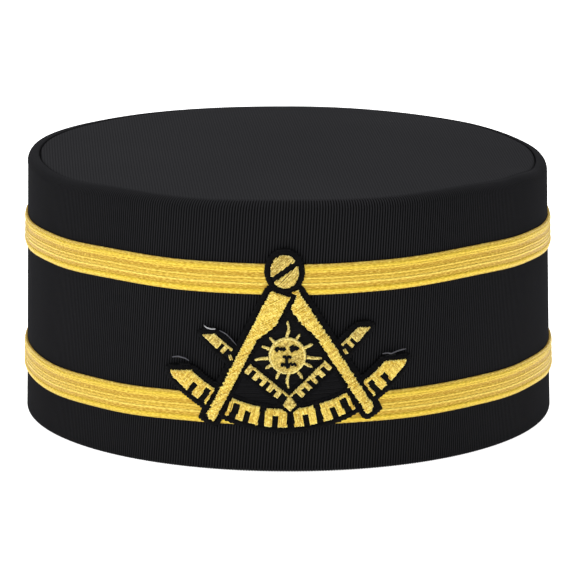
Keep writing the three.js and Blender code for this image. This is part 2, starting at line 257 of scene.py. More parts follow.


# embroidery: gold thread, with a painted highlight in the pale colour where a stitch turns down at its end
goldLook = {
    "thread": linear(240, 213, 88),
    "pale": linear(255, 244, 158),
    "deep": linear(200, 162, 52),
    "patchScale": 330,
    "grainScale": 1300,
    "glintScale": 2600,
    "glintDepth": 0.00003,
    "metallic": 0.15,
    "roughness": 0.42,
    "gloss": 0.3,
}
# the same in a paler gold, with its own painted highlight colour
paleLook = {
    **goldLook,
    "thread": linear(232, 208, 104),
    "pale": linear(250, 236, 158),
    "deep": linear(172, 142, 58),
}


def goldFinish(name, look):
    finish = Finish(name)
    strand = finish.attribute("strand")
    end = finish.attribute("end")
    patchy = finish.noise(look["patchScale"], 2)
    grain = finish.noise(look["grainScale"], 1)
    glint = finish.noise(look["glintScale"], 1)
    lit = strand * 0.75 + patchy * 0.35 + (grain - 0.5) * 2.2 - 0.1
    body = finish.blend(lit, look["deep"], look["thread"])
    # painted highlight: the pale colour at stitch ends, at random glints and in the grain
    sparkle = end * 0.8 + (glint - 0.5) * 2.0 + (grain - 0.5) * 1.2 + 0.12
    colour = finish.blend(sparkle, body, look["pale"])
    finish.feed(
        finish.surface,
        {
            "Base Color": colour,
            "Metallic": look["metallic"],
            "Roughness": look["roughness"] + glint * 0.16,
            "Normal": finish.bump(glint + patchy, look["glintDepth"]),
            "Specular IOR Level": look["gloss"],
        },
    )
    return finish.material


# black satin thread under and round the gold
satinLook = {
    "thread": linear(6, 6, 7),
    "mixedTone": linear(16, 16, 19),
    "roughness": 0.6,
    "gloss": 0.05,
    "fuzzScale": 1900,
    "fuzzDepth": 0.00003,
}
groundLook = {**satinLook, "thread": linear(12, 12, 13), "mixedTone": linear(25, 25, 27), "roughness": 0.75}


def satinFinish(name, look):
    finish = Finish(name)
    strand = finish.attribute("strand")
    fuzz = finish.noise(look["fuzzScale"], 2)
    colour = finish.blend(strand * 0.4 + fuzz * 0.6 - 0.15, look["thread"], look["mixedTone"])
    finish.feed(
        finish.surface,
        {
            "Base Color": colour,
            "Roughness": look["roughness"] + fuzz * 0.15,
            "Normal": finish.bump(fuzz, look["fuzzDepth"]),
            "Specular IOR Level": look["gloss"],
        },
    )
    return finish.material


def floorFinish():
    finish = Finish("pale_floor")
    tone = studio["floorTone"]
    cloudy = finish.noise(1.5, 2)
    colour = finish.blend(cloudy, (tone, tone, tone, 1), (tone * 0.99, tone * 0.99, tone * 0.985, 1))
    glow = {"Emission Color": (1, 1, 1, 1), "Emission Strength": studio["floorGlow"]}
    finish.feed(finish.surface, {"Base Color": colour, "Roughness": 0.9, "Specular IOR Level": 0.0, **glow})
    return finish.material


cloth = clothFinish()
braidGold = braidFinish()
threadGold = goldFinish("gold_thread", goldLook)
paleGold = goldFinish("pale_gold_thread", paleLook)
satin = satinFinish("black_satin", satinLook)
groundSatin = satinFinish("ground_satin", groundLook)
print("finishes made")

# the cap's own sizes, in millimetres as drawn
cap = {
    "width": 175.2,
    "depth": 209.8,
    "height": 85.0,
    "wall": 2.4,
    "hemRound": 0.8,
    "shoulder": 3.4,
    "seamInset": 3.8,
    "drawIn": 1.1,
    "rimRise": 2.4,
    "braidRise": 1.2,
    "lowerBraid": (15.25, 9.5),  # its lower edge and its width
    "upperBraid": (56.7, 9.75),
}
# the cap is made by hand: shares of the sizes above, by angle from the front round to the right
uneven = {
    "at": [-180, -135, -105, -80, -60, -40, -20, 0, 20, 40, 60, 80, 105, 135, 180],
    "rim": [-0.16, 0, 0.15, 0, -0.15, 0.32, 0.15, 0.4, 0.29, 0.45, -0.06, -0.98, -0.75, -0.4, -0.16],
    "upper": [-0.7, -0.6, -0.52, -0.52, -0.2, 0.27, 0.07, 0, 0.08, 0.66, 0, -1, -1, -0.85, -0.7],
    "lower": [-0.8, -0.8, -0.81, -0.81, -1, -0.62, -0.24, 0, 0.23, 0.16, -0.3, -0.83, -0.83, -0.83, -0.8],
    "drawIn": [0.95, 0.7, 0.55, 1.15, 1.05, 1, 1, 1, 1, 1.03, 1.08, 1.65, 1.25, 1.45, 0.95],
}


def ovalPoint(angle, out):
    a, b = cap["width"] / 2, cap["depth"] / 2
    x, y = a * np.sin(angle), -b * np.cos(angle)
    nx, ny = x / a**2, y / b**2
    size = np.hypot(nx, ny)
    return x + out * nx / size, y + out * ny / size


def unevenAt(size, angle):
    at, shares = np.radians(uneven["at"]), np.array(uneven[size])
    after = np.clip(np.searchsorted(at, angle, side="right"), 1, len(at) - 1)
    way = np.clip((angle - at[after - 1]) / (at[after] - at[after - 1]), 0, 1)
    return shares[after - 1] + (shares[after] - shares[after - 1]) * way**2 * (3 - 2 * way)


def drawnIn(angle):
    return cap["drawIn"] * unevenAt("drawIn", angle)


# each braid rises and drops as a whole, and the cloth above and below follows it
def liftAt(angle, height):
    def climb(start, end):
        return np.clip((height - start) / (end - start), 0, 1)

    lower = cap["braidRise"] * unevenAt("lower", angle)
    upper = cap["braidRise"] * unevenAt("upper", angle)
    rim = cap["rimRise"] * unevenAt("rim", angle)
    lowerFoot, upperFoot = cap["lowerBraid"][0], cap["upperBraid"][0]
    lowerTop, upperTop = sum(cap["lowerBraid"]), sum(cap["upperBraid"])
    between = (upper - lower) * climb(lowerTop, upperFoot)
    return lower * climb(0, lowerFoot) + between + (rim - upper) * climb(upperTop, cap["height"])


def wallPoint(angle, out, height):
    x, y = ovalPoint(angle, out - drawnIn(angle) * height / cap["height"])
    return np.stack(np.broadcast_arrays(x, y, height + liftAt(angle, height)), axis=-1) / 1000


# the emblem is stitched flat on, so it keeps its own heights
def frontPoint(x, height, out):
    inset = out - cap["drawIn"] * height / cap["height"]
    radius = cap["width"] / 2 + inset
    angle = np.arcsin(np.clip(x / radius, -0.999, 0.999))
    for _ in range(4):
        angle = angle + (x - ovalPoint(angle, inset)[0]) / (radius * np.cos(angle))
    return np.stack([*ovalPoint(angle, inset), height], axis=-1) / 1000


# how far round the foot each angle is, so that ribs and stitches keep an even pitch
tableAngles = np.linspace(-math.pi, math.pi, 20001)
tablePoints = np.stack(ovalPoint(tableAngles, 0), -1)
tableLengths = np.concatenate([[0], np.cumsum(np.hypot(*np.diff(tablePoints, axis=0).T))])
girth = tableLengths[-1]


def angleAt(length):
    return np.interp(length, tableLengths, tableAngles)


def gridQuads(rows, columns, ringRows=False, ringColumns=False):
    down = np.arange(rows if ringRows else rows - 1)[:, None]
    over = np.arange(columns if ringColumns else columns - 1)[None, :]
    nextDown, nextOver = (down + 1) % rows, (over + 1) % columns
    corners = [down * columns + over, down * columns + nextOver]
    corners += [nextDown * columns + nextOver, nextDown * columns + over]
    return np.stack(np.broadcast_arrays(*corners), -1).reshape(-1, 4)


def makePiece(name, points, quads, finish, values, replaced=()):
    mesh = bpy.data.meshes.new(name)
    mesh.vertices.add(len(points))
    mesh.vertices.foreach_set("co", np.asarray(points, np.float32).ravel())
    mesh.loops.add(quads.size)
    mesh.loops.foreach_set("vertex_index", quads.astype(np.int32).ravel())
    mesh.polygons.add(len(quads))
    mesh.polygons.foreach_set("loop_start", np.arange(0, quads.size, 4, dtype=np.int32))
    mesh.update(calc_edges=True)
    mesh.polygons.foreach_set("use_smooth", np.ones(len(quads), bool))
    for key, value in values.items():
        layer = mesh.attributes.new(key, "FLOAT", "POINT")
        layer.data.foreach_set("value", np.asarray(value, np.float32).ravel())
    mesh.materials.append(finish)
    piece = bpy.data.objects.new(name, mesh)
    bpy.context.scene.collection.objects.link(piece)
    if replaced:
        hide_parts(*replaced)
    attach(piece, "root")
    print(name, "made,", 2 * len(quads), "triangles")


def arc(centre, radius, fromDegrees, toDegrees, steps):
    turn = np.radians(np.linspace(fromDegrees, toDegrees, steps))
    return [(centre[0] + radius * math.cos(t), centre[1] + radius * math.sin(t)) for t in turn]


# the side: real ribs of cloth, rolled over the shoulder, into the seam and down inside
side = {
    "ribPitch": 0.905,
    "ribColumns": 4,
    "ribDepth": 0.32,
    "ribLean": 0.07,  # how far a rib drifts to the left for each millimetre down
    "ribRound": 0.9,  # less is flatter on its crest
    "insideRibs": 0.4,
    "waver": 0.12,
    "waves": [(7, 1.3, 0.5), (17, 4, 0.3), (31, 0, 0.2)],  # how many round, start, share of the waver
    "waverOut": 0.6,
    "hemFoot": 1.6,
    "shoulderRows": 10,
    "shoulderEnd": 84,  # degrees that it has turned by the lip
    "lipRound": 0.6,
    "plainHeights": (40, 75),  # rows between the braids and above them
    "insideHeights": (76, 60, 40, 20, 6),
    "fuller": 0.6,  # how much the shoulder swells on the left
    "fullerAt": -105,
    "fullerSpread": 38,
}


def makeSide():
    ribs = round(girth / side["ribPitch"])
    columns = ribs * side["ribColumns"]
    phase = np.arange(columns) % side["ribColumns"] / side["ribColumns"]
    lengths = np.arange(columns) / columns * girth
    height, wall, lip = cap["height"], cap["wall"], side["lipRound"]
    shoulderHeight = height - cap["shoulder"]
    middleHeight, highHeight = side["plainHeights"]
    section = [(-wall, 0.0), (-side["hemFoot"], 0.0)]
    section += arc((-cap["hemRound"], cap["hemRound"]), cap["hemRound"], -90, 0, 4)
    section += [(0, up) for up in (cap["lowerBraid"][0], sum(cap["lowerBraid"]), middleHeight)]
    section += [(0, up) for up in (cap["upperBraid"][0], sum(cap["upperBraid"]), highHeight)]
    shoulderRow, rows = len(section), side["shoulderRows"]
    section += arc((-cap["shoulder"], shoulderHeight), cap["shoulder"], 0, side["shoulderEnd"], rows)
    inset = -cap["seamInset"]
    section += [(inset + lip * 0.4, height - 0.03), (inset + 0.05, height - lip * 0.5)]
    section += [(inset, height - lip * 1.6), (inset, height - wall)]
    outsideRows = len(section) - 1
    section += arc((inset + 0.4, shoulderHeight), 1.0, 90, 0, 3)
    section += [(-wall, up) for up in side["insideHeights"]]
    section = np.array(section)
    angle = angleAt((lengths[None, :] + side["ribLean"] * (section[:, 1:] - height / 2)) % girth)
    ahead = np.roll(section, -1, 0) - np.roll(section, 1, 0)
    normal = np.stack([ahead[:, 1], -ahead[:, 0]], -1)
    normal /= np.linalg.norm(normal, axis=1)[:, None]
    share = np.where(np.arange(len(section)) < outsideRows, 1.0, side["insideRibs"])
    rib = np.sin(math.pi * phase) ** side["ribRound"]
    waver = side["waver"] * sum(np.sin(count * angle + start) * part for count, start, part in side["waves"])
    raised = side["ribDepth"] * share[:, None] * (rib[None, :] - 1)
    onLeft = np.exp(-(((np.degrees(angle) - side["fullerAt"]) / side["fullerSpread"]) ** 2))
    swell = np.zeros(len(section))
    swell[shoulderRow : shoulderRow + rows] = np.sin(math.pi * np.arange(rows) / (rows - 0.5))
    raised = raised + side["fuller"] * swell[:, None] * onLeft
    climb = np.clip(np.sin(math.pi * section[:, 1] / height), 0, 1)[:, None] * waver
    out = section[:, :1] + normal[:, :1] * raised + climb * side["waverOut"]
    up = section[:, 1:] + normal[:, 1:] * raised
    points = wallPoint(angle, out, np.maximum(up, 0))
    along = np.cumsum(np.r_[0, np.hypot(*np.diff(section, axis=0).T)])
    values = {"rib": np.broadcast_to(rib, out.shape), "along": np.broadcast_to(along[:, None], out.shape)}
    quads = gridQuads(*out.shape, ringRows=True, ringColumns=True)
    makePiece("side_cloth", points.reshape(-1, 3), quads, cloth, values, ["crown_side"])


makeSide()

# the top: ribs that run front to back, a soft dome and a rolled edge that dips into the seam
top = {
    "edge": -4.1,
    "tuck": 5.0,
    "edgeRound": 0.9,
    "thickness": 2.2,
    "dome": 1.2,
    "swell": 0.12,
    "swellFrom": 8,  # how far in from the edge it is at its full height
    "rowShares": [0, 0.0015, 0.004, 0.008, 0.014, 0.025, 0.05, 0.1, 0.18, 0.28, 0.39, 0.5],
    "ribPitch": 0.905,
    "ribColumns": 4,
    "ribDepth": 0.09,
    "ribRound": 0.6,
    "underRibs": 0.08,
    "grooveShadeShare": 0.35,  # how much painted shade darkens the grooves, beside those of the side
    "ribTurn": 3.5,  # degrees, anticlockwise from above
}


def makeTop():
    cos, sin = math.cos(math.radians(top["ribTurn"])), math.sin(math.radians(top["ribTurn"]))
    rimX, rimY = ovalPoint(tableAngles, top["edge"] - drawnIn(tableAngles))
    outline = np.stack([rimX * cos + rimY * sin, rimY * cos - rimX * sin], -1)
    first, last = outline[:, 0].argmin(), outline[:, 0].argmax()
    order = np.roll(np.arange(len(outline) - 1), -first)
    gap = (last - first) % (len(outline) - 1)
    front, back = outline[order[: gap + 1]], outline[order[gap:]][::-1]
    if front[:, 1].mean() > back[:, 1].mean():
        front, back = back, front
    reach = outline[:, 0].max() - 0.01
    ribs = round(2 * reach / top["ribPitch"])
    columns = ribs * top["ribColumns"] + 1
    x = np.linspace(-reach, reach, columns)
    near, far = np.interp(x, front[:, 0], front[:, 1]), np.interp(x, back[:, 0], back[:, 1])
    halfShares = np.array(top["rowShares"])
    shares = np.r_[halfShares, 1 - halfShares[-2::-1]]
    y = near[None, :] + (far - near)[None, :] * shares[:, None]
    x = np.broadcast_to(x, y.shape)
    plainX, plainY = x * cos - y * sin, x * sin + y * cos
    around = np.arctan2(plainX / cap["width"], -plainY / cap["depth"])
    inset = top["edge"] - drawnIn(around)
    a, b = cap["width"] / 2 + inset, cap["depth"] / 2 + inset
    radial = (plainX / a) ** 2 + (plainY / b) ** 2
    slope = 2 * np.hypot(plainX / a**2, plainY / b**2)
    inward = np.clip((1 - radial) / np.maximum(slope, 1e-6), 0, None)
    rounding = top["edgeRound"]
    dip = rounding - np.sqrt(np.clip(rounding**2 - np.clip(rounding - inward, 0, None) ** 2, 0, None))
    phase = np.arange(columns) % top["ribColumns"] / top["ribColumns"]
    rib = np.broadcast_to(np.sin(math.pi * phase) ** top["ribRound"], y.shape)
    swell = top["swell"] * np.sin(plainX / 23 + 1) * np.sin(plainY / 31 + 2)
    toEdge = np.clip(radial, 0, 1)
    dome = top["dome"] * (1 - toEdge)
    height = cap["height"] + dome - dip + top["ribDepth"] * (rib - 1)
    height = height + swell * np.clip(inward / top["swellFrom"], 0, 1)
    under = cap["height"] - top["thickness"] + dome + top["underRibs"] * (1 - rib)
    lift = cap["rimRise"] * unevenAt("rim", around) * toEdge
    upper = np.stack([plainX, plainY, height + lift], -1)
    spread = top["tuck"] + top["edge"]  # the underside runs out below the lip of the side
    lower = np.stack([plainX * (a + spread) / a, plainY * (b + spread) / b, under + lift], -1)
    rows, count = y.shape, y.size
    flat = np.arange(count).reshape(rows)
    quads = gridQuads(*rows)
    edge = np.r_[flat[0], flat[1:, -1], flat[-1, -2::-1], flat[-2:0:-1, 0]]
    beyond = np.roll(edge, -1)
    skirt = np.stack([edge, edge + count, beyond + count, beyond], -1)
    allQuads = np.concatenate([quads, quads[:, ::-1] + count, skirt])
    points = np.concatenate([upper.reshape(-1, 3), lower.reshape(-1, 3)]) / 1000
    # painted shade in the grooves of the top, weaker than on the side
    shown = 1 - top["grooveShadeShare"] * (1 - rib)
    values = {"rib": np.tile(shown.ravel(), 2), "along": np.tile(y.ravel(), 2)}
    makePiece("top_cloth", points, allQuads, cloth, values, ["crown_top"])


makeTop()

# the braids: cords and flat bands side by side, each a share of the width from the lower edge
braid = {
    "base": 0.25,
    "thickness": 0.75,
    "between": 0.42,  # how high it is between its cords, as a share of the thickness
    "rows": 49,
    "edgeRound": 0.02,
    "wander": [(0.14, 21, 1), (0.1, 7.3, 2)],  # size, length, share of the seed
    "back": 0.02,
    "stitchLength": 0.34,
    "cords": [
        {"at": 0.03, "half": 0.032, "rise": 0.6, "twist": 0.05},
        {"at": 0.125, "half": 0.075, "rise": 0.97, "twist": 0.03},
        {"at": 0.24, "half": 0.04, "rise": 0.6, "twist": 0.02},
        {"at": 0.3, "half": 0.03, "rise": 0.6, "twist": 0.02},
        {"at": 0.36, "half": 0.034, "rise": 0.92, "twist": 0.05},
        {"at": 0.46, "half": 0.066, "rise": 0.76, "twist": 0.03},
        {"at": 0.56, "half": 0.034, "rise": 0.9, "twist": 0.05},
        {"at": 0.63, "half": 0.036, "rise": 0.62, "twist": 0.02},
        {"at": 0.7, "half": 0.036, "rise": 0.58, "twist": 0.02},
        {"at": 0.765, "half": 0.03, "rise": 0.86, "twist": 0.05},
        {"at": 0.85, "half": 0.06, "rise": 0.97, "twist": 0.03},
        {"at": 0.935, "half": 0.03, "rise": 0.7, "twist": 0.03},
        {"at": 0.972, "half": 0.028, "rise": 0.62, "twist": 0.05},
    ],
    "twistPitch": 1.02,
}


def makeBraid(name, strip, node, seed):
    foot, width = strip
    low = braid["between"]
    columns = round(girth / braid["stitchLength"])
    lengths = np.linspace(0, girth, columns)
    angle = angleAt(lengths)
    across = np.linspace(0, 1, braid["rows"])
    rise = np.full((len(across), columns), low)
    for cord in braid["cords"]:
        away = (across - cord["at"]) / cord["half"]
        bulge = np.sqrt(np.clip(1 - away**2, 0, 1))[:, None]
        turn = 2 * math.pi * (lengths[None, :] / braid["twistPitch"] + away[:, None] * 0.35)
        lift = low + (cord["rise"] - low) * bulge + cord["twist"] * np.sin(turn) * bulge
        rise = np.maximum(rise, lift)
    edge = np.clip(np.minimum(across, 1 - across) / braid["edgeRound"], 0, 1)[:, None]
    wander = sum(size * np.sin(lengths / wave + share * seed) for size, wave, share in braid["wander"])
    out = braid["base"] + braid["thickness"] * rise * (0.35 + 0.65 * edge)
    height = foot + width * across[:, None] + wander[None, :] * 0.6
    height = np.broadcast_to(height, out.shape)
    behind = np.full((2, columns), braid["back"])
    out = np.concatenate([behind[:1], out, behind[1:]])
    height = np.concatenate([height[:1] + 0.1, height, height[-1:] - 0.1])
    # how deep each point sits below the cords, which drives the painted shade
    deep = np.clip(1 - (out - braid["base"]) / braid["thickness"] - 0.12, 0, 1)
    points = wallPoint(angle[None, :], out, height)
    acrossAll = np.concatenate([[0], across, [1]])[:, None]
    values = {
        "across": np.broadcast_to(acrossAll, out.shape),
        "along": np.broadcast_to(lengths[None, :], out.shape),
        "deep": deep,
    }
    quads = gridQuads(*out.shape)
    makePiece(name, points.reshape(-1, 3), quads, braidGold, values, [node])


makeBraid("lower_braid", cap["lowerBraid"], "braid_lower", 1.0)
makeBraid("upper_braid", cap["upperBraid"], "braid_upper", 3.0)

# the emblem, in its own plane: across and up from the middle of the sun, before its turn
emblem = {
    "height": 37.675,
    "aside": -0.33,
    "turn": 2.75,
    "threadBase": 1.9,
    "threadFace": 2.72,
    "border": 1.9,
    "borderRound": 1.5,
    "borderOverlap": 0.35,  # how far its stitches reach in under the gold
    "threadGap": 0.6,
}
compasses = {
    "pivot": (0.4, 26.6),
    "head": (9, 10.6),
    "headGap": 1.4,
    "slotAngle": 32,
    "slotWidth": 1.6,
    "slotReach": 12,
    "angle": 29.5,
    "legWidth": 3.3,
    "top": 20.7,
    "spread": 4.32,
    "footDrop": 19.1,
    "chamfer": 1.4,
    "bladeRise": 1.2,
    "bladeStraight": 8.9,
    "bladeEnd": 15.9,
    "leftBlade": 6.5,
    "rightBlade": 5.1,
    "crossGap": 1.5,
    "headSlant": 44,  # the way that the stitches run, in degrees
    "leftSlant": 24,
    "rightSlant": 28,
}
sun = {
    "radius": 5.85,
    "reach": 11,
    "slant": 22,
    "ringStitch": 0.8,
    "rays": [  # direction, share of the reach, width at the root and tip, how far it bends aside
        (90, 1, 1.5, 0.8, 0.45),
        (61, 0.71, 1.05, 0.95, 0),
        (25, 0.79, 1.0, 0.95, 0),
        (-5, 0.98, 1.4, 0.8, 0.1),
        (-25, 0.79, 1.1, 0.9, 0),
        (-57, 0.78, 1.1, 0.95, 0),
        (-88, 0.93, 1.3, 0.8, 0.4),
        (-116, 0.74, 1.1, 0.95, 0),
        (-149, 0.73, 1.1, 0.9, 0),
        (-172, 0.94, 1.4, 0.8, 0.1),
        (160, 0.78, 1.1, 0.95, 0),
        (134, 0.73, 1.1, 0.95, 0),
    ],
    "face": [  # lines of black stitches, across and up from its middle
        [(-3.8, 1.65), (-3.1, 2.25), (-2.3, 2.6), (-1.65, 1.9), (-0.6, 2.6)],
        [(-3.4, 2.9), (-3.15, 2.3)],
        [(0.9, 1.6), (2.25, 2.5)],
        [(0.9, 2.35), (2.15, 3.2)],
        [(2.3, 3.0), (2.75, 2.75), (3.45, 2.05)],
        [(-0.9, 0.35), (-0.95, -0.6), (-0.2, -0.2), (0.5, -0.6), (0.95, 0.2)],
        [(-0.2, -0.2), (-0.25, -2.4)],
        [(-2.1, -2.55), (-1.1, -2.85), (0, -2.7), (0.95, -2.75), (1.6, -2.3), (2.1, -2.85), (2.7, -2.4)],
        [(-0.1, -2.9), (0.25, -3.9)],
    ],
}
square = {
    "drop": 12.65,
    "angle": 41.7,
    "arm": 32.9,
    "band": 3.3,
    "spine": 0.8,
    "notchSpine": 1.5,
    "arms": {  # blocks of teeth: from, notch, to, as shares of the arm
        "start": 0,
        "end": 0.48,
        "blocks": [(0.064, (0.116, 0.158), 0.213), (0.246, (0.295, 0.337), 0.386), (0.422, None, 0.48)],
    },
    "tip": {
        "start": 0.69,
        "blocks": [(0.73, None, 0.772), (0.802, None, 0.851)],
        "shoulder": 0.915,
        "point": (1, 0.89),
    },
    "diamondHalf": 2.2,
    "diamondDrop": 3.05,
    "strayStitches": {  # the ends of the arms that show beside the legs
        "left": [[(-18.3, -0.4), (-17.6, -2.1)], [(-17.9, -0.1), (-17.1, -1.9)]],
        "right": [[(17.4, 1.6), (18.4, 0.0)], [(17.9, 1.8), (18.9, 0.3)]],
    },
}
quadrant = {
    "centre": 26.35,
    "inner": 43.25,
    "span": 50.2,
    "band": 6,
    "spine": 1.2,
    "notchSpine": 2.4,
    "inside": {"start": 0.067, "end": 0.198, "blocks": [(0.026, (0.097, 0.139), 0.198)]},
    "outside": {
        "start": 0.243,
        "end": 0.491,
        "blocks": [(0.243, (0.313, 0.355), 0.41), (0.46, None, 0.491)],
    },
    "tip": {
        "start": 0.645,
        "blocks": [(0.645, None, 0.667), (0.711, (0.775, 0.815), 0.957)],
        "shoulder": 0.892,
        "point": (1, 0.9),
    },
}


def turned(place, degrees, along, across):
    turn = math.radians(degrees)
    return (
        place[0] + along * math.cos(turn) - across * math.sin(turn),
        place[1] + along * math.sin(turn) + across * math.cos(turn),
    )


def spun(outline, degrees):
    return np.array([turned((0, 0), degrees, x, y) for x, y in outline])


def mirrored(outline):
    return [(-x, y) for x, y in outline][::-1]


def ellipse(middle, width, height, steps):
    turn = np.linspace(0, 2 * math.pi, steps, endpoint=False)
    return [(middle[0] + width / 2 * math.cos(t), middle[1] + height / 2 * math.sin(t)) for t in turn]


legLength = (compasses["top"] + compasses["footDrop"]) / math.cos(math.radians(compasses["angle"]))


def besideLeg(down, inward):
    return turned((compasses["spread"], compasses["top"]), compasses["angle"] - 90, down, -inward)


def legOutline(blade, grow):  # grow widens it all round
    cut = compasses["chamfer"] - grow * (math.sqrt(2) - 1)
    return [
        besideLeg(-grow, -grow),
        besideLeg(-compasses["bladeRise"] - grow, blade + grow),
        besideLeg(compasses["bladeStraight"], blade + grow),
        besideLeg(compasses["bladeEnd"], compasses["legWidth"] + grow),
        besideLeg(legLength + grow, compasses["legWidth"] + grow),
        besideLeg(legLength + grow, cut - grow),
        besideLeg(legLength + grow - cut, -grow),
    ]


def headOutline(grow):
    width, height = compasses["head"]
    return ellipse(compasses["pivot"], width + 2 * grow, height + 2 * grow, 48)


def slotOutline():
    half, reach = compasses["slotWidth"] / 2, compasses["slotReach"]
    corners = [(-reach, -half), (reach, -half), (reach, half), (-reach, half)]
    return [turned(compasses["pivot"], compasses["slotAngle"], *corner) for corner in corners]


def rayOutline(ray, grow):
    at, share, rootWidth, tipWidth, bend = ray
    root, tip = sun["radius"] / 2, sun["reach"] * share
    reach = tip - tipWidth / 2
    ways = np.linspace(0, 1, 7)
    alongs = [root + (reach - root) * way for way in ways]
    halves = [(rootWidth + (tipWidth - rootWidth) * way) / 2 + grow for way in ways]
    middle = [bend * math.sin(2 * math.pi * way) for way in ways]
    stations = list(zip(alongs, middle, halves))
    lower = [turned((0, 0), at, along, aside - half) for along, aside, half in stations]
    upper = [turned((0, 0), at, along, aside + half) for along, aside, half in stations]
    size = tipWidth / 2 + grow
    roundEnd = [
        turned((0, 0), at, reach + size * math.cos(t), size * math.sin(t)) for t in (-1, -0.5, 0, 0.5, 1)
    ]
    return lower + roundEnd + upper[::-1]


def onArm(share, down):
    return turned((0, -square["drop"]), square["angle"], share * square["arm"], -down)


def onArc(share, outward):
    return turned((0, quadrant["centre"]), share * quadrant["span"] - 90, quadrant["inner"] + outward, 0)


def alongTo(place, start, end, across, steps):
    return [place(start + (end - start) * i / steps, across) for i in range(steps + 1)]


# a spine with teeth: the square and the quadrant are made of these
def combOutline(place, sizes, strip, steps):
    band, spine, notchSpine = sizes["band"], sizes["spine"], sizes["notchSpine"]
    under = [] if strip["blocks"][0][0] <= strip["start"] else [place(strip["start"], spine)]
    for start, notch, end in strip["blocks"]:
        under += [place(start, spine), place(start, band)]
        if notch:
            under += [place(notch[0], band), place(notch[0], notchSpine)]
            under += [place(notch[1], notchSpine), place(notch[1], band)]
        under += [place(end, band), place(end, spine)]
    if "point" not in strip:
        return alongTo(place, strip["end"], strip["start"], 0, steps) + under
    at, across = strip["point"]
    outer = alongTo(place, strip["shoulder"], strip["start"], 0, steps)
    return outer + under[:-1] + [place(at, across * band)]


def diamondOutline(grow):
    middle = -square["drop"] - square["diamondDrop"]
    half = square["diamondHalf"] + grow * math.sqrt(2)
    return [(half, middle), (0, square["spine"] / 2 - square["drop"]), (-half, middle), (0, middle - half)]


def stripBorder(place, band, length, tip, steps):
    border = emblem["border"]
    reach = border / length
    at, across = tip["point"][0], tip["point"][1] * band
    return (
        alongTo(place, tip["shoulder"] + reach * 0.5, -reach, -border, steps)
        + alongTo(place, -reach, tip["blocks"][-1][2], band + border, steps)
        + [place(at + reach * 0.4, across + border * 0.8), place(at + reach, across - border * 0.3)]
    )


# spans of a straight line inside outlines, and what is left of them beside others
def spansOn(outlines, along, across, level):
    found = []
    for outline in outlines:
        points = np.asarray(outline)
        off, at = points @ across - level, points @ along
        nextOff, nextAt = np.roll(off, -1), np.roll(at, -1)
        hit = (off < 0) != (nextOff < 0)
        cuts = np.sort(at[hit] + (nextAt[hit] - at[hit]) * -off[hit] / (nextOff[hit] - off[hit]))
        found += cuts.reshape(-1, 2).tolist()
    joined = []
    for start, end in sorted(found):
        if joined and start <= joined[-1][1]:
            joined[-1][1] = max(joined[-1][1], end)
        else:
            joined.append([start, end])
    return joined


def leftOver(spans, holes):
    for low, high in holes:
        kept = []
        for start, end in spans:
            if high <= start or low >= end:
                kept.append([start, end])
                continue
            if low > start:
                kept.append([start, low])
            if high < end:
                kept.append([high, end])
        spans = kept
    return spans


def meeting(first, second):
    pairs = [(max(a, c), min(b, d)) for a, b in first for c, d in second]
    return [[start, end] for start, end in pairs if end > start]


# stitches side by side across outlines, but not over the holes
def fillStitches(outlines, holes, degrees, pitch, least=0.35):
    along = np.array(turned((0, 0), degrees, 1, 0))
    across = np.array(turned((0, 0), degrees, 0, 1))
    allPoints = np.concatenate([np.asarray(outline) for outline in outlines]) @ across
    stitches = []
    for level in np.arange(allPoints.min() + pitch / 2, allPoints.max(), pitch):
        spans = leftOver(spansOn(outlines, along, across, level), spansOn(holes, along, across, level))
        for beside in (level - pitch * 0.25, level + pitch * 0.25):
            spans = meeting(spans, spansOn(outlines, along, across, beside))
            spans = leftOver(spans, spansOn(holes, along, across, beside))
        for start, end in spans:
            if end - start > least:
                stitches.append((along * start + across * level, along * end + across * level))
    return stitches


# stitches square to an outline, from the outline inward, fanned out round its corners
def edgeStitches(outline, length, pitch, fan=1.2):
    points = np.asarray(outline)
    ahead = np.roll(points, -1, 0) - points
    size = np.linalg.norm(ahead, axis=1)
    area = np.sum(points[:, 0] * np.roll(points[:, 1], -1) - points[:, 1] * np.roll(points[:, 0], -1))
    inward = np.stack([-ahead[:, 1], ahead[:, 0]], -1) / size[:, None] * np.sign(area)
    corner = inward + np.roll(inward, 1, 0)
    corner /= np.maximum(np.linalg.norm(corner, axis=1)[:, None], 1e-6)
    stitches = []
    for i in range(len(points)):
        for at in np.arange(0, size[i], pitch):
            toStart, toEnd = max(0, 1 - at / fan), max(0, 1 - (size[i] - at) / fan)
            nextCorner = corner[(i + 1) % len(points)]
            facing = inward[i] * (1 - max(toStart, toEnd)) + corner[i] * toStart + nextCorner * toEnd
            facing = facing / max(np.linalg.norm(facing), 1e-6)
            place = points[i] + ahead[i] * at / size[i]
            stitches.append((place, place + facing * length))
    return stitches


# a stitch is a rounded strand that turns down at its ends and has skirts down to what is under it
# across its half width, how far below its crest; None is the foot of a skirt
strandSection = [(-1.0, None), (-1.0, 1.0), (-0.62, 0.3), (0.0, 0.0), (0.62, 0.3), (1.0, 1.0), (1.0, None)]


